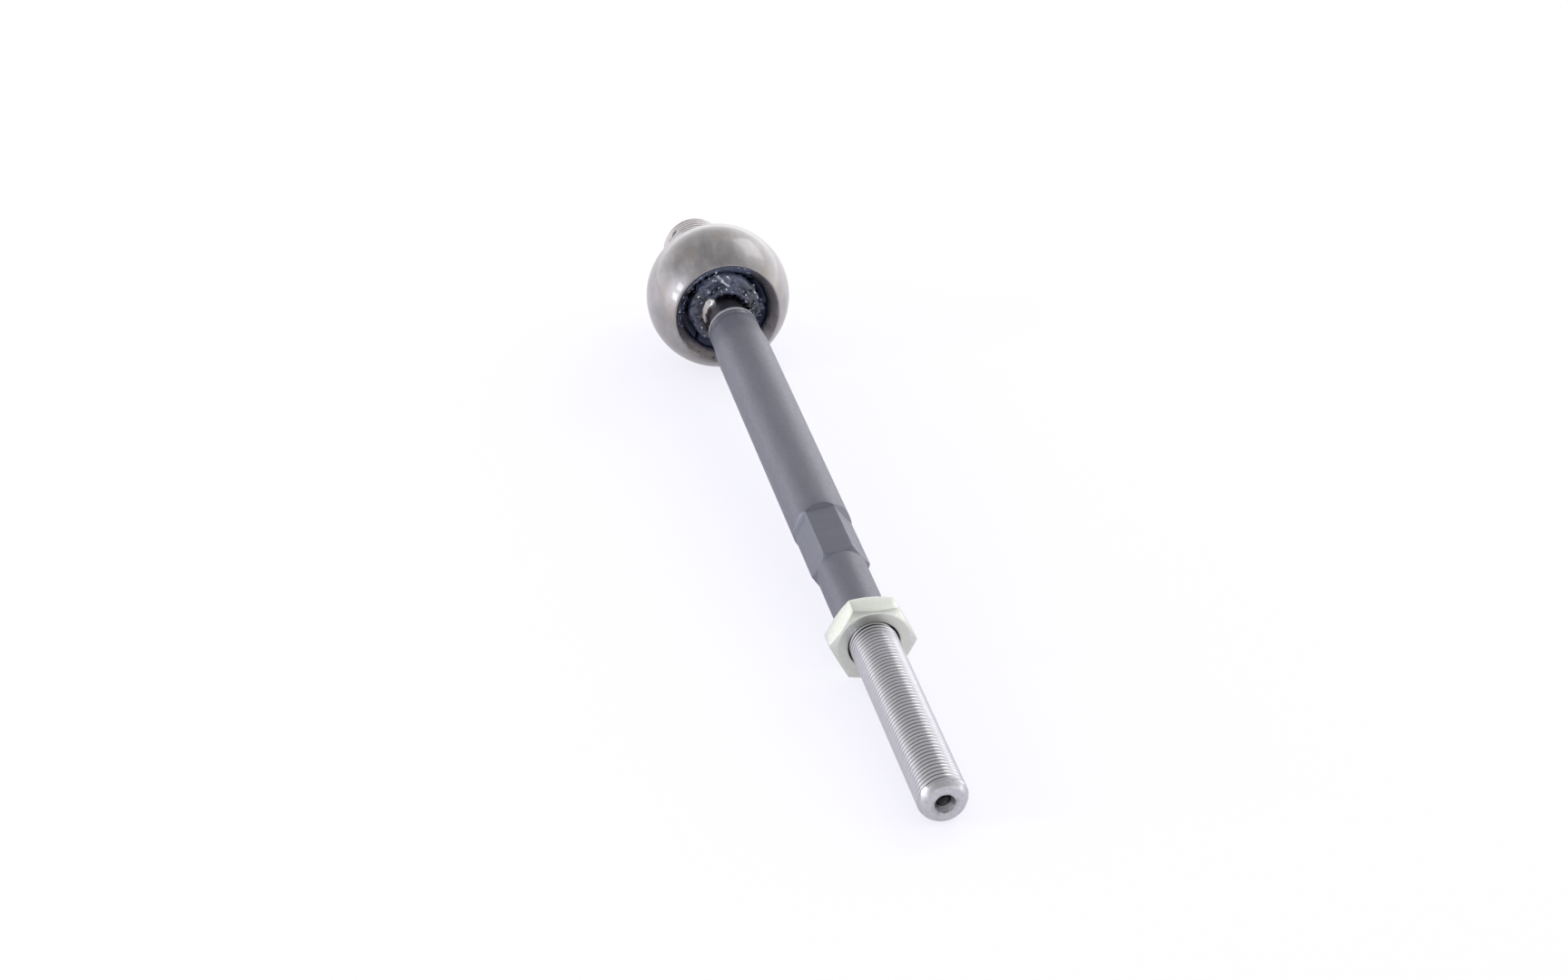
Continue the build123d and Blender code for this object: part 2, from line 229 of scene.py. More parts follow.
class Wire:
    """An output of a node. Sums, products and powers of it add Math nodes."""
    __add__ = __radd__ = operation("ADD")
    __sub__ = operation("SUBTRACT")
    __rsub__ = operation("SUBTRACT", swapped=True)
    __mul__ = __rmul__ = operation("MULTIPLY")
    __truediv__ = operation("DIVIDE")
    __mod__ = operation("FLOORED_MODULO")
    __pow__ = operation("POWER")
    __abs__ = operation("ABSOLUTE")
    at_least = operation("MAXIMUM")
    at_most = operation("MINIMUM")
    floor = operation("FLOOR")
    fraction = operation("FRACT")
    sine = operation("SINE")
    cosine = operation("COSINE")

    def __init__(self, tree, socket):
        self.tree = tree
        self.socket = socket

    def over(self, low, high, start=0.0, end=1.0):
        """start at low, end at high, straight in between."""
        values = {"Value": self, "From Min": low, "From Max": high, "To Min": start, "To Max": end}
        return self.tree.wire("ShaderNodeMapRange", {}, values)


class Tree:
    """Adds nodes to a node tree."""

    def __init__(self, tree):
        self.tree = tree

    def node(self, kind, settings=None, values=None):
        """A node of this kind: its settings come first, then the values or wires of its inputs."""
        made = self.tree.nodes.new(kind)
        for name, value in (settings or {}).items():
            setattr(made, name, value)
        for name, value in (values or {}).items():
            self.feed(made.inputs[name], value)
        return made

    def feed(self, socket, value):
        if isinstance(value, Wire):
            self.tree.links.new(value.socket, socket)
        else:
            socket.default_value = value

    def wire(self, kind, settings=None, values=None, output=0):
        return Wire(self, self.node(kind, settings, values).outputs[output])

    def split(self, vector):
        """The three parts of a vector."""
        return [Wire(self, socket) for socket in self.node("ShaderNodeSeparateXYZ", {}, {0: vector}).outputs]

    def mix(self, share, first, second):
        """A colour between two."""
        made = self.node("ShaderNodeMix", {"data_type": "RGBA"}, {"Factor": share})
        for index, value in ((6, first), (7, second)):
            self.feed(made.inputs[index], value if isinstance(value, Wire) else (*value, 1.0))
        return Wire(self, made.outputs[2])


SPREAD = (0.35, 0.65)      # Where most of a noise's values lie


class Finish(Tree):
    """A material whose patterns are in millimetres, in the rod's or the housing's own directions.
    Paint and bumps are laid one over the other. A number in place of a colour is a shade of the base."""

    def __init__(self, name, base, slope, **constants):
        self.material = bpy.data.materials.new(name)
        self.material.use_nodes = True
        super().__init__(self.material.node_tree)
        self.shader = self.tree.nodes["Principled BSDF"]
        self.set(**constants)
        self.base = self.tone = getattr(looks().colours, base)
        self.normal = None
        spot = self.wire("ShaderNodeTexCoord", output="Object")
        turned = {"Vector": spot, "Location": BALL, "Rotation": (0, slope, 0), "Scale": (MM, MM, MM)}
        self.spot = self.wire("ShaderNodeMapping", {"vector_type": "TEXTURE"}, turned)
        self.along, self.side, self.up = self.split(self.spot)
        self.out = (self.side * self.side + self.up * self.up) ** 0.5

    def set(self, **inputs):
        for socket, value in inputs.items():
            self.feed(self.shader.inputs[socket.replace("_", " ")], value)

    def cloud(self, scale, detail=3.0, stretch=(1, 1, 1), shift=0.0, roughness=0.5):
        """Noise between about 0 and 1 with features of 1/scale millimetres, stretched along the axes."""
        spot = self.wire("ShaderNodeMapping", {}, {
            "Vector": self.spot, "Location": (shift, shift * 2, shift * 3), "Scale": stretch})
        values = {"Vector": spot, "Scale": scale, "Detail": detail, "Roughness": roughness}
        return self.wire("ShaderNodeTexNoise", {}, values)

    def lines(self, value, scale, detail=2.0):
        """Noise that changes along one number only, such as the marks of a turning tool."""
        values = {"W": value, "Scale": scale, "Detail": detail}
        return self.wire("ShaderNodeTexNoise", {"noise_dimensions": "1D"}, values)

    def shaded(self, colour):
        return shade(self.base, colour) if isinstance(colour, float) else colour

    def paint(self, share, colour, under=None):
        """Lays a colour over another, or over what is there."""
        under = self.tone if under is None else self.shaded(under)
        self.tone = self.mix(share, under, self.shaded(colour))

    def bump(self, height, distance, strength):
        """Lays a relief over what is there. distance is what a height of 1 stands for, in millimetres."""
        values = {"Height": height, "Distance": distance * MM, "Strength": strength}
        if self.normal is not None:
            values["Normal"] = self.normal
        self.normal = self.wire("ShaderNodeBump", {}, values)

    def done(self, **inputs):
        """The material, with these inputs and what was laid on it."""
        self.set(Base_Color=self.tone, Normal=self.normal, **inputs)
        return self.material


def shade(base, factor):
    return tuple(min(1.0, part * factor) for part in base)


def housing_steel():
    finish = Finish("housing_steel", "housing", 0.0, Metallic=1.0, Coat_Weight=0.6, Coat_Roughness=0.10)
    mottle = finish.cloud(0.17, 5.0, shift=3.0, roughness=0.6).over(0.35, 0.68)
    streak = finish.cloud(0.5, 4.0, (0.25, 1, 0.35), 11.0, 0.6).over(0.35, 0.68)
    stain = finish.cloud(0.13, 4.0, shift=21.0, roughness=0.6).over(0.54, 0.70)
    painted_underside_shade = finish.up.over(-4.0, -17.0)
    finish.paint(mottle, 1.22, 0.76)
    finish.paint(streak * 0.6, 0.70)
    finish.paint(stain * 0.55, (0.27, 0.23, 0.195))
    # Painted shade: the housing's lower side is painted darker
    finish.paint(painted_underside_shade * 0.5, 0.62)
    finish.bump(finish.lines(finish.along, 2.2, 3.0), 0.014, 0.6)
    finish.bump(finish.cloud(0.9, 4.0, shift=8.0), 0.035, 0.5)
    return finish.done(Roughness=0.44 + mottle * 0.12 - streak * 0.05)


def mouth_steel():
    finish = Finish("mouth_steel", "mouth", 0.0, Metallic=1.0, Coat_Roughness=0.12)
    dirt = finish.cloud(0.5, 4.0, shift=5.0).over(0.40, 0.65)
    pits = finish.cloud(1.1, 2.0, shift=14.0).over(0.66, 0.71)
    painted_shade_low_left = finish.side.over(-8.0, -12.0) * finish.up.over(-14.0, -10.0)
    finish.paint(finish.up.over(-17.0, -5.0), 1.0, (0.36, 0.33, 0.32))
    finish.paint(dirt * 0.45, 0.55)
    # Painted shade: the wall is painted darker at the lower left
    finish.paint(painted_shade_low_left * 0.4, 0.4)
    finish.paint(pits, (0.03, 0.028, 0.03))
    finish.paint(finish.out.over(13.3, 12.3), shade(looks().colours.grease, 2.0))
    finish.bump(finish.lines(finish.out, 2.6), 0.02, 0.7)
    finish.bump(pits, -0.12, 0.8)
    return finish.done(Roughness=0.34 + dirt * 0.22, Coat_Weight=0.35 - pits * 0.3)


def stud_steel():
    finish = Finish("stud_steel", "housing", 0.0, Metallic=1.0)
    mottle = finish.cloud(0.35, 4.0, shift=9.0).over(*SPREAD)
    stain = finish.cloud(0.3, shift=31.0).over(0.52, 0.66)
    crest = finish.out.over(8.1, 8.9)
    # Painted shade: the thread's roots are painted darker than its crests
    finish.paint(crest, 2.1, 1.1)
    finish.paint(mottle * 0.35, 1.5)
    finish.paint(stain * 0.5, (0.52, 0.47, 0.38))
    finish.bump(finish.cloud(2.0, 3.0, (3, 1, 1), 4.0), 0.02, 0.5)
    return finish.done(Roughness=0.50 - crest * 0.10 + mottle * 0.08)


def rod_coat():
    finish = Finish("rod_coat", "coat", SLOPE, Metallic=0.35, IOR=2.2)
    streaks = finish.cloud(0.5, 4.0, (0.16, 1, 1), 2.0).over(0.3, 0.7)
    mottle = finish.cloud(0.9, 4.0, shift=6.0).over(0.35, 0.7)
    speck = finish.cloud(2.6, 2.0, shift=17.0).over(0.70, 0.76)
    collar, edge = finish.along.over(24.4, 24.2), finish.along.over(22.8, 22.3)
    past_collar = finish.along.over(24.2, 24.5)
    finish.paint(streaks, 1.12, 0.88)
    finish.paint(mottle * 0.25, 0.75)
    finish.paint(speck * 0.35, (0.30, 0.30, 0.33))
    finish.paint(collar * 0.35, 0.5)
    # Painted highlight: a light line along the collar's front edge
    finish.paint(edge, (0.66, 0.66, 0.70))
    finish.bump(finish.lines(finish.along, 1.6, 3.0), 0.010, 0.6)
    finish.bump(finish.cloud(1.4, 4.0, shift=11.0), 0.012, 0.6)
    return finish.done(Roughness=0.28 + past_collar * 0.17 + mottle * 0.08)


def flats_coat():
    finish = Finish("flats_coat", "coat", SLOPE, Metallic=0.4, IOR=2.2)
    mill = finish.lines(finish.along, 3.4)
    wander = finish.cloud(0.35, 3.0, (1, 0.25, 0.25), 5.0).over(0.3, 0.7)
    finish.paint(mill.over(*SPREAD), 1.25, 0.92)
    finish.paint(wander * 0.3, 0.84)
    finish.bump(mill, 0.05, 0.8)
    return finish.done(Roughness=0.36 + wander * 0.1)


def bright_steel():
    finish = Finish("bright_steel", "bright", SLOPE, Metallic=1.0)
    along, side, up = finish.along, finish.side, finish.up
    smear = finish.cloud(0.6, 3.0, (0.5, 1, 1), 7.0).over(0.45, 0.70)
    painted_tan_reflection = side.over(-3.4, -4.4) * side.over(-7.5, -6.5) * up.over(2.5, 1.0)
    painted_tan_reflection = painted_tan_reflection * along.over(10.0, 11.5) * along.over(14.5, 13.0) * finish.cloud(0.5).over(0.3, 0.6)
    lit = side.over(-3.1, -3.5) * side.over(-4.7, -4.3) * up.over(1.8, 3.0) * along.over(14.2, 13.4)
    dark = side.over(-3.6, -2.6) * up.over(0.5, 2.5)
    finish.paint(smear * 0.4, 0.6)
    # Painted reflection: a tan patch low on the neck's left side
    finish.paint(painted_tan_reflection, (0.46, 0.38, 0.36))
    # Painted reflection: the neck is painted dark on its upper side, except at the left, where it mirrors the
    # dark mouth
    finish.paint(dark, (0.15, 0.15, 0.17))
    finish.paint(lit, (0.90, 0.89, 0.91))
    # Painted highlight: a pale band at the collar's edge
    finish.paint(along.over(20.3, 20.8), (0.70, 0.69, 0.72))
    finish.bump(finish.lines(along, 3.0, 3.0), 0.008, 0.5)
    return finish.done(Roughness=0.20 + smear * 0.10 + along.over(12.5, 14.0) * 0.22)


def rolled_thread():
    finish = Finish("rolled_thread", "thread", SLOPE, Metallic=1.0)
    crest = finish.out.over(5.35, 5.75)
    mottle = finish.cloud(0.45, 4.0, shift=3.0).over(*SPREAD)
    # Painted shade: the thread's roots are painted dark, as shade in the grooves
    finish.paint(crest, 1.16, 0.26)
    finish.paint(mottle * 0.25, 0.85)
    finish.bump(finish.cloud(2.4, 3.0, (2, 1, 1), 12.0), 0.002, 0.3)
    return finish.done(Roughness=0.25 - crest * 0.10 + mottle * 0.05)


def tip_steel():
    finish = Finish("tip_steel", "thread", SLOPE, Metallic=1.0)
    mottle = finish.cloud(0.9, shift=2.0).over(*SPREAD)
    bruise = finish.cloud(1.6, shift=27.0).over(0.45, 0.6) * finish.out.over(3.4, 2.6)
    hole = finish.out.over(1.9, 1.5)
    finish.paint(mottle * 0.5, 0.85, 1.15)
    finish.paint(bruise * 0.6, 0.4)
    # Painted shade: the lathe centre is painted darker inside
    finish.paint(hole * 0.6, (0.18, 0.177, 0.187))
    finish.bump(finish.lines(finish.out, 3.2), 0.03, 0.6)
    finish.bump(finish.cloud(1.5, 4.0, shift=15.0) * (0.25 + hole), 0.12, 0.7)
    return finish.done(Roughness=0.34 + mottle * 0.1 - hole * 0.16)


def zinc_plate():
    finish = Finish("zinc_plate", "zinc", SLOPE, Metallic=1.0)
    tint = finish.cloud(0.25, shift=13.0).over(*SPREAD)
    grain = finish.cloud(1.8, 4.0, shift=1.0).over(*SPREAD)
    bore = finish.out.over(6.8, 6.3)
    finish.paint(tint, (0.60, 0.62, 0.555), 0.92)
    finish.paint(grain * 0.35, 0.72)
    # Painted shade: the bore and countersink are painted darker
    finish.paint(bore, 0.4)
    finish.bump(finish.cloud(1.2, 4.0, shift=5.0), 0.03, 0.6)
    return finish.done(Roughness=0.30 + grain * 0.12)


def navy_grease(name, slope, painted_sheen=0.5, painted_streaks=False):
    """The sheen is how far the high parts are painted paler, a painted sheen. Streaks are painted highlights
    where light catches a strand.
    """
    finish = Finish(name, "grease", slope, Coat_Roughness=0.05, Coat_Weight=0.8, Coat_IOR=1.5, IOR=1.45)
    depth = finish.cloud(0.25, 2.0, shift=4.0).over(0.38, 0.62)
    smear = finish.cloud(0.4, 2.0, (1, 0.6, 0.6), 9.0).over(0.54, 0.70)
    glint = finish.cloud(1.1, 0.0, shift=33.0).over(0.745, 0.775)
    finish.paint(depth, 1.7, 0.5)
    finish.paint(smear * 0.5, (0.055, 0.065, 0.115))
    # Painted sheen: the upper parts are painted paler
    finish.paint(finish.up.over(7.0, 11.0) * painted_sheen, (0.105, 0.122, 0.195))
    finish.paint(glint, (0.80, 0.83, 0.95))
    if painted_streaks:
        # Painted highlights: pale streaks along the strands
        finish.paint(finish.cloud(1.1, 2.0, shift=41.0).over(0.40, 0.56), (0.66, 0.67, 0.78))
    finish.bump(finish.cloud(0.5, 1.0, shift=2.0), 0.3, 0.3)
    return finish.done(Roughness=0.22 + depth * 0.14)


def seat_plastic():
    finish = Finish("seat_plastic", "plastic", 0.0, IOR=1.48)
    grain = finish.cloud(0.8).over(0.3, 0.7)
    film = finish.cloud(0.5, shift=6.0).over(0.30, 0.50).at_least(finish.along.over(1.0, 3.0))
    finish.paint(grain * 0.3, 0.85)
    finish.paint(film * 0.97, shade(looks().colours.grease, 2.4))
    finish.bump(grain, 0.02, 0.5)
    return finish.done(Roughness=0.42 - film * 0.22)


# Meshes

def lathe(rings, count, first=0.0):
    """Points and faces of a round shape through rings of (along, out), each a number or one for every
    segment. An out of 0 is a pole. A turn of 0 is the upper side, and it grows towards -Y."""
    turns = math.radians(first) + np.arange(count) * math.tau / count
    points, index = [], []
    for along, out in rings:
        along, out = np.broadcast_to(along, count), np.broadcast_to(out, count)
        if not out.any():
            index.append([len(points)] * count)
            points.append((along[0], 0.0, 0.0))
        else:
            index.append(list(range(len(points), len(points) + count)))
            points.extend(zip(along, -out * np.sin(turns), out * np.cos(turns)))
    faces = []
    for low, high in zip(index, index[1:]):
        for i in range(count):
            j = (i + 1) % count
            face = list(dict.fromkeys((low[i], low[j], high[j], high[i])))
            if len(face) > 2:
                faces.append(face)
    return points, faces


def arc(centre, radius, start, end, steps):
    """Points on a circle from one angle to another, in degrees off the +along direction."""
    found = []
    for step in range(steps + 1):
        turn = math.radians(start + (end - start) * step / steps)
        found.append((centre[0] + radius * math.cos(turn), centre[1] + radius * math.sin(turn)))
    return found


def solid(*parts):
    """A mesh that can be edited, from (points, faces) or finished meshes."""
    made = bmesh.new()
    for part in parts:
        if isinstance(part, bpy.types.Mesh):
            made.from_mesh(part)
            bpy.data.meshes.remove(part)
        else:
            points, faces = part
            corners = [made.verts.new(point) for point in points]
            for face in faces:
                made.faces.new([corners[i] for i in face])
    return made


def baked(made, name):
    """The mesh of what was edited, which ends the editing."""
    mesh = bpy.data.meshes.new(name)
    made.to_mesh(mesh)
    made.free()
    return mesh


def linked(name, data):
    """A new object in the scene."""
    piece = bpy.data.objects.new(name, data)
    bpy.context.scene.collection.objects.link(piece)
    return piece


def applied(piece, modifier):
    """The piece's mesh after this modifier, which is removed."""
    graph = bpy.context.evaluated_depsgraph_get()
    mesh = bpy.data.meshes.new_from_object(piece.evaluated_get(graph))
    piece.modifiers.remove(modifier)
    return mesh


def softened(shape, offset):
    """A mesh of the shape with its sharp edges bevelled."""
    made = solid(shape)
    made.normal_update()
    sharp = [edge for edge in made.edges if len(edge.link_faces) == 2 and edge.calc_face_angle(0.0) > SHARP]
    bmesh.ops.bevel(made, geom=sharp, offset=offset, segments=2, profile=0.5, affect="EDGES",
                    clamp_overlap=True)
    return baked(made, "softened")


def joined(*parts):
    """The parts welded where they meet, with their faces turned outwards."""
    made = solid(*parts)
    bmesh.ops.remove_doubles(made, verts=made.verts, dist=WELD)
    bmesh.ops.dissolve_degenerate(made, edges=made.edges, dist=WELD * 0.2)
    bmesh.ops.recalc_face_normals(made, faces=made.faces)
    open_edges = sum(1 for edge in made.edges if len(edge.link_faces) != 2)
    if open_edges:
        print("open edges", open_edges)
    return made


def finished(made, name, home, materials, pick=None):
    """The piece's object, with its place in its mesh. pick gives a face's material from its middle."""
    made.normal_update()
    for face in made.faces:
        face.smooth = True
        face.material_index = pick(face.calc_center_median()) if pick else 0
    for edge in made.edges:
        edge.smooth = edge.calc_face_angle(0.0) < CREASE
    mesh = baked(made, name)
    mesh.transform(home)
    for material in materials:
        mesh.materials.append(material)
    return linked(name, mesh)


def thread_tree():
    """Geometry nodes for one screw thread: a strip that winds from its start to its end, whose ends
    blend into a ring at each side."""
    group = bpy.data.node_groups.new("screw_thread", "GeometryNodeTree")
    group.interface.new_socket("Geometry", in_out="OUTPUT", socket_type="NodeSocketGeometry")
    numbers = ["Start", "End", "Pitch", "Crest", "Root", "Phase", "First turn"]
    numbers += [f"{side} {what}" for side in ("Start", "End")
                for what in ("radius", "run", "rise", "power", "bare")]
    inputs = [("Segments", "Int"), ("Turns", "Int"), *((name, "Float") for name in numbers),
              ("Material", "Material")]
    for name, kind in inputs:
        group.interface.new_socket(name, in_out="INPUT", socket_type="NodeSocket" + kind)
    tree = Tree(group)
    given = {socket.name: Wire(tree, socket) for socket in tree.node("NodeGroupInput").outputs if socket.name}
    samples, low, high, rounding = 12, 0.14, 0.64, 0.25
    steps = given["Segments"] * given["Turns"]
    grid = tree.wire("GeometryNodeMeshGrid", {}, {
        "Size X": 1.0, "Size Y": 1.0, "Vertices X": steps + 1.0, "Vertices Y": samples + 1})
    index = tree.wire("GeometryNodeInputIndex")
    column = (index / (samples + 1)).floor()
    share = (index - column * (samples + 1)) / samples
    turns = column / given["Segments"]
    along = given["Start"] + given["Pitch"] * (turns + share - 1.0)
    along = along.at_least(given["Start"]).at_most(given["End"])
    phase = (share + given["Phase"]).fraction() * 2.0
    height = (1.0 - abs(phase - 1.0)).over(low, high)
    crown = 1.0 - (1.0 - phase) ** 2.0 * rounding
    out = given["Root"] + (given["Crest"] - given["Root"]) * height * crown
    for side, reach in (("Start", along - given["Start"]), ("End", given["End"] - along)):
        room = given[side + " rise"] * (reach / given[side + " run"]) ** given[side + " power"]
        grooved = (reach - given[side + " bare"]).at_least(0.0)
        top = given[side + " radius"] + room
        out = out.at_most(top).at_least(top - grooved * 2.0 * given[side + " rise"] / given[side + " run"])
    turn = (column % given["Segments"]) / given["Segments"] * math.tau + given["First turn"]
    spot = tree.wire("ShaderNodeCombineXYZ", {}, {
        0: along, 1: 0.0 - out * turn.sine(), 2: out * turn.cosine()})
    moved = tree.wire("GeometryNodeSetPosition", {}, {"Geometry": grid, "Position": spot})
    merged = tree.wire("GeometryNodeMergeByDistance", {}, {"Geometry": moved, "Distance": WELD})
    real = tree.wire("GeometryNodeRealizeInstances", {}, {"Geometry": merged})
    dressed = tree.wire("GeometryNodeSetMaterial", {}, {"Geometry": real, "Material": given["Material"]})
    tree.node("NodeGroupOutput", {}, {"Geometry": dressed})
    return group


def thread_mesh(segments, start, end, pitch, crest_at, turn, **sizes):
    """A plain mesh of one thread, in millimetres. crest_at is where a crest crosses the upper side."""
    group = bpy.data.node_groups.get("screw_thread") or thread_tree()
    holder = linked("thread", bpy.data.meshes.new("thread"))
    modifier = holder.modifiers.new("thread", "NODES")
    modifier.node_group = group
    first = math.radians(turn)
    values = {
        "Segments": segments, "Turns": math.ceil((end - start) / pitch) + 1, "Material": None,
        "Start": start, "End": end, "Pitch": pitch, "First turn": first,
        "Phase": (0.5 - (crest_at - start) / pitch - first / math.tau) % 1.0,
        "Start bare": 0.0, "End bare": 0.0,
    }
    values.update({name.replace("_", " ").capitalize(): value for name, value in sizes.items()})
    for item in group.interface.items_tree:
        if item.in_out == "INPUT":
            value = values[item.name]
            modifier[item.identifier] = float(value) if item.socket_type == "NodeSocketFloat" else value
    holder.update_tag()
    mesh = applied(holder, modifier)
    bpy.data.objects.remove(holder)
    mesh.materials.clear()
    return mesh


def cut(piece, tool):
    """Takes the tool's shape out of the piece."""
    modifier = piece.modifiers.new("cut", "BOOLEAN")
    modifier.operation = "DIFFERENCE"
    modifier.solver = "EXACT"
    modifier.object = tool
    old = piece.data
    piece.data = applied(piece, modifier)
    bpy.data.meshes.remove(old)
    bpy.data.objects.remove(tool)
    piece.data.name = piece.name


# Pieces

def shaft_rings(sizes, delta):
    """The shaft's outline from the ball's pole flat to the start of the thread. delta is each
    segment's angle off the middle of its flat."""
    out = sizes.neck + sizes.fillet
    along = math.sqrt((sizes.ball + sizes.fillet) ** 2 - out ** 2)
    ball_end = math.degrees(math.atan2(out, along))
    pole = math.degrees(math.acos(-(sizes.ball - sizes.pole_flat) / sizes.ball))
    rings = [(-(sizes.ball - sizes.pole_flat), 0.0)]
    rings += arc((0, 0), sizes.ball, pole, ball_end, 40)
    rings += arc((along, out), sizes.fillet, 180 + ball_end, 270, 8)[1:]
    drop = sizes.neck + sizes.flare - sizes.collar
    flare_at = sizes.collar_at - math.sqrt(sizes.flare ** 2 - drop ** 2)
    last = 270 + math.degrees(math.atan2(sizes.collar_at - flare_at, drop))
    rings += arc((flare_at, sizes.neck + sizes.flare), sizes.flare, 270, last, 10)
    lean, fall = 0.8, 0.1      # The crown is highest before its middle, and the collar narrows a little
    for share in (step / 8 for step in range(1, 9)):
        crown = sizes.collar_crown * math.sin(math.pi * share ** lean)
        rings.append((sizes.collar_at + sizes.collar_length * share, sizes.collar + crown - fall * share))
    waist_at = sizes.collar_at + sizes.collar_length + sizes.collar_step
    taper_at = waist_at + sizes.waist_length
    rings += [(waist_at, sizes.waist), (taper_at, sizes.waist)]
    for share in (step / 12 for step in range(1, 13)):
        rise = (sizes.shank - sizes.waist) * share * share * (3 - 2 * share)
        rings.append((taper_at + sizes.taper * share, sizes.waist + rise))
    rings += [(x, sizes.shank) for x in (50.0, 70.0, 90.0, 110.0, 126.0)]
    cone = sizes.flats_at + sizes.flats_length + sizes.plain
    corner = sizes.flat / np.cos(delta)
    rings += [
        (sizes.flats_at - (sizes.shank * np.cos(delta) - sizes.flat), sizes.shank),
        (sizes.flats_at, corner),
        (cone - corner, corner),
        (sizes.flats_at + sizes.flats_length, sizes.plain),
        (sizes.thread_at - 1.0, sizes.plain),
        (sizes.thread_at, sizes.plain),
    ]
    return rings


def tip_rings(sizes):
    """The end face and the lathe centre."""
    bevel = (sizes.hole_mouth - sizes.hole) * math.sqrt(3)
    point = sizes.tip_at - sizes.hole_depth - sizes.hole / math.tan(DRILL_ANGLE)
    return [
        (sizes.tip_at, sizes.tip_face),
        (sizes.tip_at, sizes.hole_mouth),
        (sizes.tip_at - bevel, sizes.hole),
        (sizes.tip_at - sizes.hole_depth, sizes.hole),
        (point, 0.0),
    ]


def off_flat(count):
    """Each segment's angle off the middle of the flat that it lies on, in radians."""
    return np.radians((np.arange(count) * 360.0 / count + 30.0) % 60.0 - 30.0)


class TIEROD_OT_shaft(bpy.types.Operator):
    """Draws the shaft with its rolled thread and gives each stretch its finish"""
    bl_idname = "tierod.shaft"
    bl_label = "Shaft"

    def execute(self, context):
        sizes, count = looks().shaft, looks().segments
        body = softened(lathe(shaft_rings(sizes, off_flat(count)), count, sizes.flats_turn), sizes.edge)
        thread = thread_mesh(
            count, sizes.thread_at, sizes.tip_at, sizes.pitch, sizes.crest_at, sizes.flats_turn,
            crest=sizes.thread, root=sizes.thread_root,
            start_radius=sizes.plain, start_run=1.0, start_rise=1.0, start_power=1.0,
            end_radius=sizes.tip_face, end_run=sizes.tip_chamfer,
            end_rise=sizes.thread - sizes.tip_face, end_power=0.52, end_bare=sizes.tip_bare)
        made = joined(body, thread, lathe(tip_rings(sizes), count, sizes.flats_turn))
        overlap = 1.2      # How far the flats' finish runs on past their ends
        coat_start = sizes.collar_at + 0.9
        flats_start = sizes.flats_at - overlap
        flats_end = sizes.flats_at + sizes.flats_length - (sizes.shank - sizes.flat) + overlap
        tip_start = sizes.tip_at - sizes.tip_bare
        bright, coat, flats, rolled, tip = range(5)

        def pick(middle):
            out = math.hypot(middle.y, middle.z)
            if middle.x < coat_start:
                return bright
            if middle.x > tip_start or (middle.x > sizes.thread_at and out < sizes.hole_mouth):
                return tip
            if middle.x > sizes.thread_at:
                return rolled
            return flats if flats_start < middle.x < flats_end and out < sizes.shank - 0.02 else coat

        materials = [bright_steel(), rod_coat(), flats_coat(), rolled_thread(), tip_steel()]
        piece = finished(made, "shaft_looks", ROD_PLACE, materials, pick)
        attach(piece, "rod")
        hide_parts("tie_rod_shaft")
        return {"FINISHED"}


class TIEROD_OT_nut(bpy.types.Operator):
    """Draws the lock nut with its chamfers and inner thread"""
    bl_idname = "tierod.nut"
    bl_label = "Lock nut"

    def execute(self, context):
        sizes, count = looks().nut, looks().segments
        pitch = looks().shaft.pitch
        corner = sizes.flat / np.cos(off_flat(count))
        rise = np.maximum((corner - sizes.face) * math.tan(math.radians(sizes.chamfer)), 0.0)
        end = sizes.start + sizes.thickness
        shell = softened(lathe([
            (sizes.start, sizes.mouth), (sizes.start, sizes.face), (sizes.start + rise, corner),
            (end - rise, corner), (end, sizes.face), (end, sizes.mouth),
        ], count, sizes.turn), sizes.edge)
        sink = {"radius": sizes.mouth, "run": sizes.sink, "rise": sizes.mouth - sizes.root, "power": 1.0}
        thread = thread_mesh(
            count, sizes.start, end, pitch, looks().shaft.crest_at + pitch / 2, sizes.turn,
            crest=sizes.crest, root=sizes.root,
            **{f"{side}_{what}": value for side in ("start", "end") for what, value in sink.items()})
        piece = finished(joined(shell, thread), "lock_nut_looks", ROD_PLACE, [zinc_plate()])
        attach(piece, "nut")
        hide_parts("lock_nut")
        return {"FINISHED"}


def housing_rings(sizes):
    """The housing's outline from the shoulder over the rim into the pocket, as its back, its front,
    the mouth's wall and the inside, and the shoulder's place."""
    def off(radius, degrees):
        turn = math.radians(degrees)
        return radius * math.cos(turn), radius * math.sin(turn)

    shoulder_angle = 180 - math.degrees(math.asin(sizes.shoulder / sizes.radius))
    shoulder = -math.sqrt(sizes.radius ** 2 - sizes.shoulder ** 2)
    rim = off(sizes.radius, sizes.rim_angle)
    inner = (rim[0] + sizes.rim_rise, rim[1] - sizes.rim_land)
    throat = off(sizes.pocket, sizes.throat_angle)
    bore_angle = 180 - math.degrees(math.asin(sizes.bore / sizes.pocket))
    floor = -(sizes.pocket + sizes.bore_depth)
    steps = 6
    wall = [tuple(a + (b - a) * k / steps for a, b in zip(inner, throat)) for k in range(steps + 1)]
    back = [(shoulder - sizes.relief_length, sizes.relief), (shoulder, sizes.relief)]
    front = arc((0, 0), sizes.radius, shoulder_angle, sizes.rim_angle, 56)
    pocket = arc((0, 0), sizes.pocket, sizes.throat_angle, bore_angle, 30)[1:]
    inside = [(floor, sizes.bore), (floor - sizes.bore / math.tan(DRILL_ANGLE), 0.0)]
    return back, front, wall, pocket + inside, shoulder


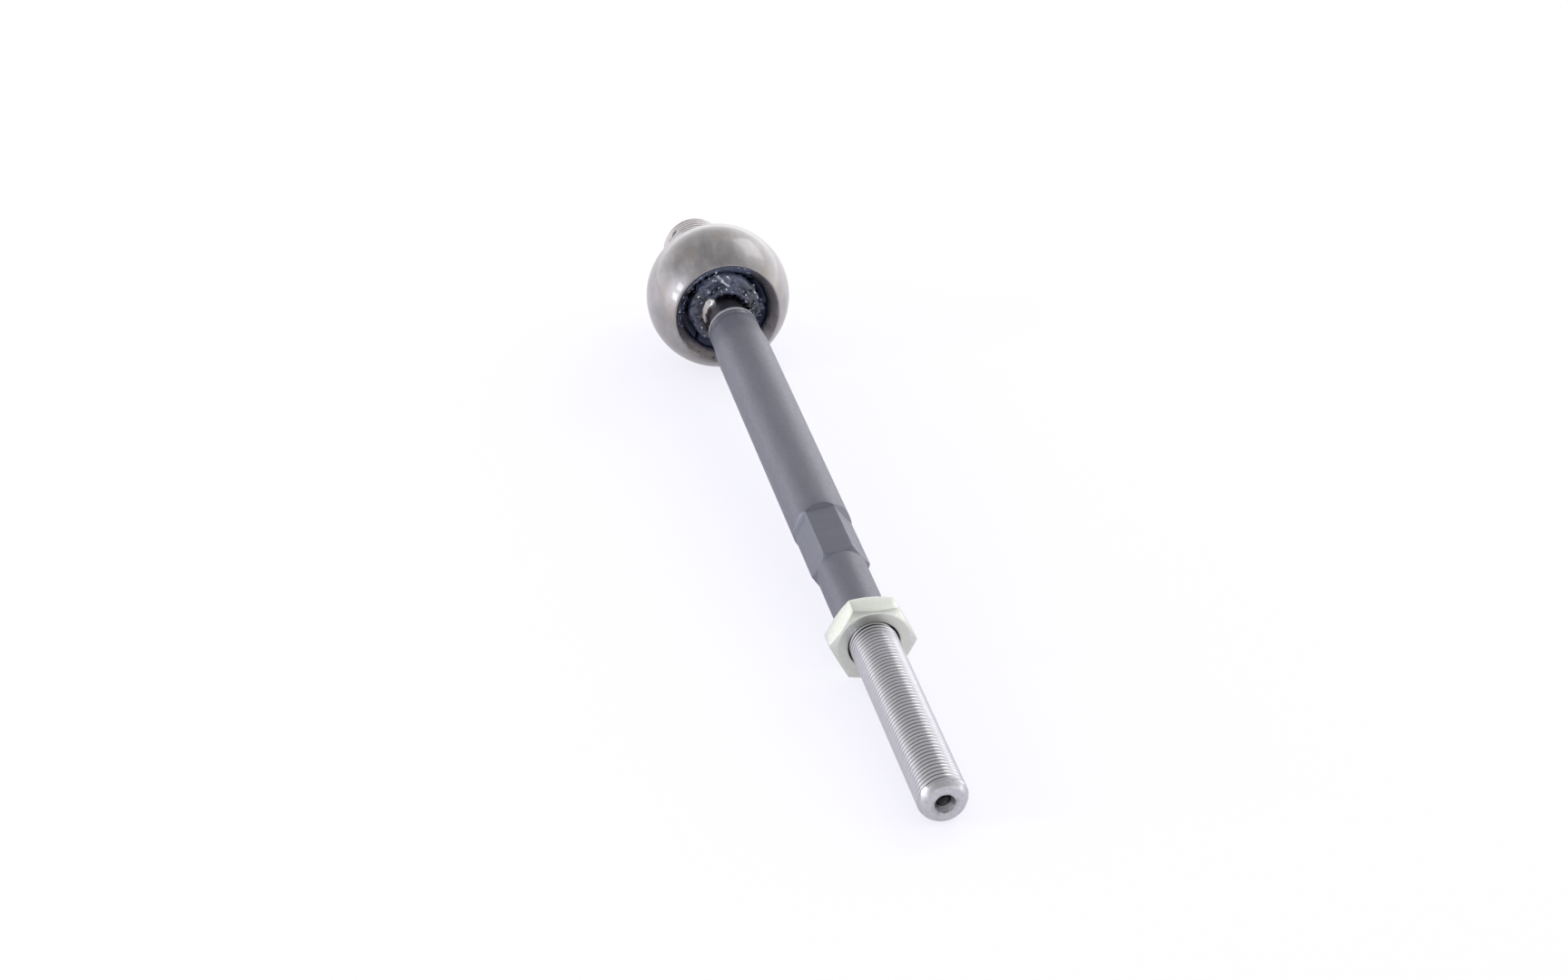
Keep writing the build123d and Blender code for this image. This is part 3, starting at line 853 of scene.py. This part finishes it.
class TIEROD_OT_housing(bpy.types.Operator):
    """Draws the housing with its flared mouth and the threaded stud with its notch"""
    bl_idname = "tierod.housing"
    bl_label = "Housing"

    def execute(self, context):
        sizes, count = looks().housing, looks().housing_segments
        back, front, wall, inside, shoulder = housing_rings(sizes)
        stud_end = shoulder - sizes.stud_length
        stud_start = shoulder - sizes.relief_length
        body = softened(lathe(back + front + wall + inside, count), sizes.edge)
        crest_at, turn = 0.4, 0.0
        thread = thread_mesh(
            count, -stud_start, -stud_end, sizes.stud_pitch, crest_at, turn,
            crest=sizes.stud, root=sizes.stud_root,
            start_radius=sizes.relief, start_run=1.1, start_rise=1.1, start_power=1.0,
            end_radius=sizes.stud - sizes.stud_chamfer, end_run=sizes.stud_chamfer,
            end_rise=sizes.stud_chamfer, end_power=1.0)
        thread.transform(Matrix.Rotation(math.pi, 4, "Z"))
        face = lathe([(stud_end, sizes.stud - sizes.stud_chamfer), (stud_end, 0.0)], count)
        made = joined(body, thread, face)
        outside, mouth, stud = range(3)
        mouth_at, rim_out = 8.0, wall[0][1]

        def pick(middle):
            if middle.x < shoulder - 0.02:
                return stud
            in_mouth = math.hypot(middle.y, middle.z) < rim_out and middle.length > sizes.pocket - 0.05
            return mouth if middle.x > mouth_at and in_mouth else outside

        materials = [housing_steel(), mouth_steel(), stud_steel()]
        piece = finished(made, "housing_looks", HOUSING_PLACE, materials, pick)
        cut(piece, notch_tool(sizes, stud_end))
        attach(piece, "housing")
        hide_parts("ball_housing")
        return {"FINISHED"}


def notch_tool(sizes, stud_end):
    """A bar with round ends that cuts the lock notch."""
    half, radius = (sizes.notch_length - sizes.notch_width) / 2, sizes.notch_width / 2
    outline = [(side * x, side * y) for side in (1, -1) for x, y in arc((half, 0), radius, -90, 90, 8)]
    low, high, count = sizes.stud - sizes.notch_depth, sizes.stud + 1.0, len(outline)
    faces = [range(count - 1, -1, -1), range(count, 2 * count)]
    faces += [(i, (i + 1) % count, count + (i + 1) % count, count + i) for i in range(count)]
    made = solid(([(x, y, z) for z in (low, high) for x, y in outline], faces))
    bmesh.ops.recalc_face_normals(made, faces=made.faces)
    home = (Matrix.Translation((stud_end + sizes.notch_to_end, 0, 0))
            @ Matrix.Rotation(math.radians(sizes.notch_turn), 4, "X")
            @ Matrix.Rotation(math.radians(90 + sizes.notch_slant), 4, "Z"))
    return finished(made, "notch", HOUSING_PLACE @ home, [])


class TIEROD_OT_seat(bpy.types.Operator):
    """Gives the plastic seat and the grease behind the ball their finishes"""
    bl_idname = "tierod.seat"
    bl_label = "Seat and rear grease"

    def execute(self, context):
        dress_node("ball_seat", seat_plastic())
        dress_node("rear_grease", navy_grease("rear_grease", 0.0))
        return {"FINISHED"}


def dress_node(name, material):
    """Gives a node of the frame a new material."""
    node = frame["nodes"][name]
    if not node.material_slots:
        node.data.materials.append(material)
    for holder in node.material_slots:
        holder.material = material


def off_axis(radius, off, turn):
    """A point this far from the ball's centre, off the axis and turned about it, in degrees."""
    off, turn = math.radians(off), math.radians(turn)
    out = radius * math.sin(off)
    return Vector((radius * math.cos(off), -out * math.sin(turn), out * math.cos(turn)))


def swell(value, middle, width):
    """1 at the middle, falling smoothly to 0 at this distance."""
    share = min(1.0, abs((value - middle + 180.0) % 360.0 - 180.0) / width)
    return 0.5 + 0.5 * math.cos(math.pi * share)


class Lumps:
    """Overlapping closed shapes that are melted into one skin. Marks are the points along shining strings."""

    def __init__(self):
        ball = bmesh.new()
        bmesh.ops.create_icosphere(ball, subdivisions=2, radius=1.0)
        self.ball = np.array([point.co for point in ball.verts])
        self.sides = [[point.index for point in face.verts] for face in ball.faces]
        ball.free()
        self.points, self.faces, self.marks = [], [], []

    def add(self, points, faces):
        start = len(self.points)
        self.points.extend(tuple(point) for point in points)
        self.faces.extend([start + i for i in face] for face in faces)

    def blob(self, centre, size, squash=0.75):
        """A lump that is flattened along the line to the ball's centre."""
        outward = np.array(centre) / np.linalg.norm(centre)
        flat = self.ball - np.outer(self.ball @ outward, outward) * (1.0 - squash)
        self.add(flat * size + np.array(centre), self.sides)

    def string(self, points, thick, thin, shine=False):
        """A drawn string through these points, as a row of round lumps that overlap. It is thin midway."""
        for start, end in zip(points, points[1:]):
            steps = max(2, int((end - start).length / (thin * 0.7)))
            for share in (step / steps for step in range(steps + 1)):
                spot = start.lerp(end, share)
                if shine:
                    self.marks.append(spot)
                self.blob(spot, thin + (thick - thin) * abs(2 * share - 1) ** 1.5, 1.0)

    def strip(self, rows, closed):
        """A skin over rows of points, each a loop of its own. The ends are capped if it isn't closed."""
        size, count = len(rows[0]), len(rows)
        faces = []
        for i in range(count if closed else count - 1):
            low, high = i * size, (i + 1) % count * size
            faces += [[low + k, low + (k + 1) % size, high + (k + 1) % size, high + k] for k in range(size)]
        if not closed:
            faces += [list(range(size)), list(range((count - 1) * size, count * size))]
        self.add([point for row in rows for point in row], faces)

    def melt(self, name, home, materials, voxel, ripple, seed):
        """Joins the shapes into one closed skin, smooths it and ripples it. What lies within reach of a
        mark gets the second material."""
        smoothings, pace, reach = 5, 0.8, 0.42
        mesh = bpy.data.meshes.new(name)
        mesh.from_pydata(self.points, [], self.faces)
        whole = solid(mesh)
        bmesh.ops.recalc_face_normals(whole, faces=whole.faces)
        piece = linked(name, baked(whole, name))
        modifier = piece.modifiers.new("melt", "REMESH")
        modifier.mode = "VOXEL"
        modifier.voxel_size = voxel
        skin = solid(applied(piece, modifier))
        for _ in range(smoothings):
            bmesh.ops.smooth_vert(
                skin, verts=skin.verts, factor=0.5, use_axis_x=True, use_axis_y=True, use_axis_z=True)
        skin.normal_update()
        shift = Vector((seed, 0, 0))
        for point in skin.verts:
            point.co += point.normal * ripple * noise.noise(point.co * pace + shift)
        bmesh.ops.recalc_face_normals(skin, faces=skin.faces)
        strings = kdtree.KDTree(len(self.marks))
        for index, mark in enumerate(self.marks):
            strings.insert(mark, index)
        strings.balance()
        for face in skin.faces:
            face.smooth = True
            if self.marks and strings.find(face.calc_center_median())[2] < reach:
                face.material_index = 1
        skin.to_mesh(piece.data)
        skin.free()
        piece.data.transform(home)
        for material in materials:
            piece.data.materials.append(material)
        return piece


class TIEROD_OT_grease(bpy.types.Operator):
    """Draws the ring of grease round the neck and the smear on the mouth's wall"""
    bl_idname = "tierod.grease"
    bl_label = "Grease in the mouth"

    def execute(self, context):
        sizes = looks().grease
        finishes = [navy_grease("ring_grease", SLOPE), navy_grease("string_grease", SLOPE, painted_streaks=True)]
        ring = ring_lumps(sizes).melt(
            "neck_grease_looks", ROD_PLACE, finishes, sizes.voxel, ripple=0.14, seed=sizes.seed)
        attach(ring, "tilter")
        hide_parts("neck_grease")
        smear = smear_lumps(sizes).melt(
            "wall_grease_looks", HOUSING_PLACE, [navy_grease("smear_grease", 0.0, painted_sheen=0.85)],
            sizes.voxel, ripple=0.08, seed=sizes.seed + 5)
        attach(smear, "housing")
        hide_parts("wall_grease")
        return {"FINISHED"}


def waver(turn, pace, shift=0.0):
    """Noise between -1 and 1 that closes on itself over a full turn."""
    turn = math.radians(turn)
    return noise.noise(Vector((math.cos(turn), math.sin(turn), shift)) * pace)


# Shining strands in the ring, each drawn through these points: the turn about the rod and the angle off it
STRANDS = (
    ((12, 49), (9, 45), (3, 40), (-4, 37.5), (-13, 35), (-24, 34.3), (-33, 34.6)),
    ((26, 34.5), (11, 32), (-2, 31.5)),
    ((-34, 30.5), (-44, 29.5)),
    ((-40, 35), (-53, 31), (-63, 30)),
    ((-54, 41.6), (-63, 41.4), (-75, 35)),
    ((-85, 40), (-102, 45)),
    ((17, 44), (19, 45)), ((34, 37), (35, 38)), ((-74, 46), (-76, 45)), ((-86, 43), (-88, 43)),
)


def ring_lumps(sizes):
    """The ring that the ball's front carries: high at the top, with lumps and strings on its right."""
    around, across = 160, 14
    lumps_round, lumps_on_top, loose_strings, lumps_at_right = 44, 8, 16, 14
    ball = looks().shaft.ball + sizes.ball_gap
    draw = np.random.default_rng(sizes.seed).uniform
    lumps = Lumps()

    def profile(turn):
        """Front angle, back angle, height, lean and overhang of the ring here."""
        top, low, wide = swell(turn, -5.0, 75.0), swell(turn, 180.0, 80.0), swell(turn, 8.0, 112.0)
        right, left = swell(turn, -75.0, 50.0), swell(turn, 85.0, 60.0)
        front = sizes.ring_front + 1.5 * waver(turn, 2.5) + waver(turn, 6.0, 1.0) - 1.2 * right
        back = (sizes.ring_back + 0.9 * waver(turn, 3.0, 2.0) + 9.6 * wide + 2.0 * right + 2.6 * left
                - 1.5 * low)
        height = (0.6 + 0.4 * max(top, 0.9 * wide, 0.7 * left) + (0.22 - 0.16 * top) * waver(turn, 4.0, 3.0)
                  - 0.12 * low) * sizes.ring_height
        return front, back, height, 1.0 + 0.9 * wide, sizes.overhang * wide

    def bulge(share, lean):
        """The ring's height from front to back, as a share of its highest."""
        return math.sin(math.pi * share ** lean) ** 0.65

    def skin(turn, share, part=1.0):
        """A point of the ring's outer side. part 0 is on the ball."""
        front, back, height, lean, over = profile(turn)
        rise = bulge(share, lean)
        off = front + (back - front + over * rise * share) * share
        return off_axis(ball + height * rise * part, off, turn)

    rows = []
    for turn in (360.0 * step / around for step in range(around)):
        front, back = profile(turn)[:2]
        row = [skin(turn, k / across) for k in range(across + 1)]
        row += [off_axis(ball, front + (back - front) * share, turn) for share in (0.75, 0.5, 0.25)]
        rows.append(row)
    lumps.strip(rows, True)
    for _ in range(lumps_round):
        turn = draw(30.0, 325.0)
        lumps.blob(skin(turn, draw(0.1, 0.9), 0.85), draw(0.6, 1.1))
    for _ in range(lumps_on_top):
        turn = draw(-35.0, 20.0)
        lumps.blob(skin(turn, draw(0.15, 0.9), 0.85), draw(0.5, 0.9), 0.6)
    for turn in range(-56, 40, 7):
        rise, off = 1.2 + 0.5 * waver(turn, 7.0), 30.6 + 1.2 * waver(turn, 6.0, 5.0)
        lumps.blob(off_axis(ball + rise, off, turn), 0.8, 0.8)
    crest = [off_axis(ball + 1.35 + 0.25 * waver(turn, 9.0), 34.5 + 2.2 * waver(turn, 5.0, 7.0), turn)
             for turn in range(24, -60, -7)]
    lumps.string(crest, 0.42, 0.30)
    for strand in STRANDS:
        points = []
        for turn, off in strand:
            front, back, height, lean, over = profile(turn)
            share = min(0.97, max(0.03, (off - front) / (back - front)))
            points.append(off_axis(ball + height * bulge(share, lean) + 0.12, off, turn))
        lumps.string(points, 0.36, 0.24, True)
    for _ in range(loose_strings):
        turn = draw(-112.0, -34.0)
        start = off_axis(ball + draw(0.6, 1.6), draw(27.5, 32.0), turn)
        middle = off_axis(ball + draw(1.5, 2.4), draw(35.0, 40.0), turn + draw(-9.0, 5.0))
        end = off_axis(ball + draw(1.2, 2.2), draw(43.0, 47.0), turn + draw(-14.0, 8.0))
        lumps.string([start, middle, end], draw(0.40, 0.70), draw(0.22, 0.34))
    for _ in range(lumps_at_right):
        spot = off_axis(ball + draw(1.4, 2.5), draw(31.0, 44.0), draw(-100.0, -36.0))
        lumps.blob(spot, draw(0.45, 0.95), 0.85)
    return lumps


def smear_lumps(sizes):
    """The smear on the mouth's wall, thicker at the top, with an edge that reaches in past the throat."""
    around, across, count = 160, 16, 34
    draw = np.random.default_rng(sizes.seed + 1).uniform
    wall = housing_rings(looks().housing)[2]
    rim, throat = Vector(wall[0]), Vector(wall[-1])
    way, wide = (throat - rim).normalized(), (throat - rim).length
    lift = Vector((-way.y, way.x))
    inward = Vector((0.25, -1.0)).normalized()
    lumps = Lumps()

    def spot(at, rise, turn):
        """A point rise above the wall, at this far from the rim. Past the throat it goes on inwards."""
        foot = rim + way * at if at <= wide else throat + inward * (at - wide)
        along, out = foot + lift * rise
        turn = math.radians(turn)
        return Vector((along, -out * math.sin(turn), out * math.cos(turn)))

    rows = []
    for step in range(around + 1):
        turn = sizes.film_from + (sizes.film_to - sizes.film_from) * step / around
        end = min(1.0, min(step, around - step) / 14)
        sheet = swell(turn, -8.0, 48.0)
        top = 0.30 + 1.1 * (1.0 - sheet) * max(0.0, waver(turn, 4.0) + 0.35)
        reach = wide + sizes.bridge * max(sheet, 0.55 + 0.3 * waver(turn, 5.0, 4.0))
        thick = sizes.film * (0.8 + 0.5 * sheet) * end
        outer, inner = [], []
        for k in range(across + 1):
            at = top + (reach - top) * k / across
            rise = thick * math.sin(math.pi * k / across) ** 0.45 * (1.0 + 0.4 * waver(turn, 6.0, k * 0.3))
            outer.append(spot(at, max(0.06, rise), turn))
            inner.append(spot(at, 0.02, turn))
        rows.append(outer + inner[::-1])
    lumps.strip(rows, False)
    for _ in range(count):
        at = wide * draw(0.3, 1.0)
        turn = draw(sizes.film_from + 8.0, sizes.film_to - 5.0)
        lumps.blob(spot(at, draw(0.25, 0.45), turn), draw(0.25, 0.5))
    return lumps


class TIEROD_OT_stage(bpy.types.Operator):
    """Sets up the pale floor, the lamps and the camera"""
    bl_idname = "tierod.stage"
    bl_label = "Floor, lamps and camera"

    def execute(self, context):
        floor()
        room()
        lamps()
        camera()
        context.scene.view_settings.view_transform = "Standard"
        return {"FINISHED"}


def floor():
    """A pale plane that keeps soft shadows. The camera looks through most of it, so that a rod that is
    tilted below it shows. At both sides it glows in bright bands, painted light that only the steel's
    reflections see."""
    half_size, see_through, band_level = 3.0, 0.74, 2.8
    made = bmesh.new()
    bmesh.ops.create_grid(made, x_segments=1, y_segments=1, size=half_size)
    piece = linked("floor", baked(made, "floor"))
    material = bpy.data.materials.new("pale_floor")
    material.use_nodes = True
    tree = Tree(material.node_tree)
    shader = material.node_tree.nodes["Principled BSDF"]
    shader.inputs["Roughness"].default_value = 0.9
    ray = tree.node("ShaderNodeLightPath")
    seen, mirrored = Wire(tree, ray.outputs["Is Camera Ray"]), Wire(tree, ray.outputs["Is Glossy Ray"])
    tree.feed(shader.inputs["Base Color"], tree.mix(seen, looks().colours.floor, (0.99, 0.97, 1.0)))
    side = tree.split(tree.wire("ShaderNodeTexCoord", output="Object"))[1]
    # Painted light: bands at the sides where the floor glows for reflected rays only
    bands = side.over(0.02, 0.14, 0.17, 0.34) + side.over(-0.02, -0.12, 0.0, 0.06)
    clear = tree.wire("ShaderNodeBsdfTransparent")
    glow = tree.wire("ShaderNodeEmission", {}, {"Color": (1.0, 0.99, 1.0, 1), "Strength": band_level})
    surface = Wire(tree, shader.outputs[0])
    for share, other in ((seen * see_through, clear), (mirrored * bands, glow)):
        surface = tree.wire("ShaderNodeMixShader", {}, {0: share, 1: surface, 2: other})
    tree.feed(material.node_tree.nodes["Material Output"].inputs["Surface"], surface)
    piece.data.materials.append(material)


def room():
    """A light tent that is brightest near the horizon, and darkest overhead and behind the camera. The
    camera itself sees white."""
    world = bpy.data.worlds.new("room")
    bpy.context.scene.world = world
    world.use_nodes = True
    tree = Tree(world.node_tree)
    ahead, side, up = tree.split(tree.wire("ShaderNodeTexCoord", output="Generated"))
    level = 0.90 + 1.9 * up.over(0.0, 0.55, 1.0, 0.0) ** 1.8 - 0.24 * up.over(0.70, 0.95)
    level = level * (1.0 + 0.15 * side) * ahead.over(0.2, 0.9, 1.0, 0.6)
    seen = tree.wire("ShaderNodeLightPath", output="Is Camera Ray")
    shown = tree.mix(seen, level, (1.01, 1.005, 1.08))
    tree.feed(world.node_tree.nodes["Background"].inputs["Color"], shown)


def lamps():
    """Two panes at the left, one above the other, and a soft box high at the right. Turn and height are
    in degrees and the distance away and the size in metres."""
    cool, plain = (0.88, 0.91, 1.0), (1, 1, 1)
    for name, turn, height, away, size, power, tint in (
        ("left_low", -90, 7, 1.1, (0.20, 0.16), 1.6, cool),
        ("left_high", -87, 22, 1.1, (0.22, 0.18), 1.9, cool),
        ("right", 130, 38, 1.2, (0.60, 0.52), 2.4, plain),
    ):
        lamp = bpy.data.lights.new(name, "AREA")
        lamp.shape = "RECTANGLE"
        lamp.size, lamp.size_y = size
        lamp.energy, lamp.color = power, tint
        holder = linked(name, lamp)
        turn, height = math.radians(turn), math.radians(height)
        level = away * math.cos(height)
        holder.location = (level * math.cos(turn), level * math.sin(turn), away * math.sin(height))
        holder.rotation_euler = (-holder.location).to_track_quat("-Z", "Y").to_euler()


def camera():
    """The camera of the photograph."""
    place = (0.701388, -0.16259, 0.38843)
    right = Vector((0.22014, 0.97547, 0.0))
    up = Vector((-0.45275, 0.10217, 0.88576))
    ahead = Vector((-0.86403, 0.19499, -0.46414))
    data = bpy.data.cameras.new("camera")
    data.lens = 71.58
    data.sensor_width = 36.0
    data.clip_start, data.clip_end = 0.02, 20.0
    holder = linked("camera", data)
    turn = Matrix((right, up, -ahead)).transposed().to_4x4()
    holder.matrix_world = Matrix.Translation(place) @ turn
    bpy.context.scene.camera = holder


class TIEROD_PT_panel(bpy.types.Panel):
    """Lists the pieces in the sidebar"""
    bl_idname = "TIEROD_PT_panel"
    bl_label = "Tie rod"
    bl_space_type = "VIEW_3D"
    bl_region_type = "UI"
    bl_category = "Tie rod"

    def draw(self, context):
        for operator in OPERATORS:
            self.layout.operator(operator.bl_idname)
        for group in (looks().shaft, looks().housing, looks().nut, looks().grease, looks().colours):
            box = self.layout.box()
            for name in group.bl_rna.properties.keys():
                if name not in ("rna_type", "name"):
                    box.prop(group, name)


SETTINGS = (ShaftSizes, HousingSizes, NutSizes, GreaseSizes, Colours, TieRodLooks)
OPERATORS = (TIEROD_OT_housing, TIEROD_OT_seat, TIEROD_OT_shaft, TIEROD_OT_nut, TIEROD_OT_grease,
             TIEROD_OT_stage)


def register():
    for made in (*SETTINGS, *OPERATORS, TIEROD_PT_panel):
        bpy.utils.register_class(made)
    bpy.types.Scene.tie_rod = PointerProperty(type=TieRodLooks)


def unregister():
    del bpy.types.Scene.tie_rod
    for made in reversed((*SETTINGS, *OPERATORS, TIEROD_PT_panel)):
        bpy.utils.unregister_class(made)


def main():
    register()
    bpy.ops.tierod.housing()
    bpy.ops.tierod.seat()
    bpy.ops.tierod.shaft()
    bpy.ops.tierod.nut()
    bpy.ops.tierod.grease()
    bpy.ops.tierod.stage()


if __name__ == "__main__":
    main()
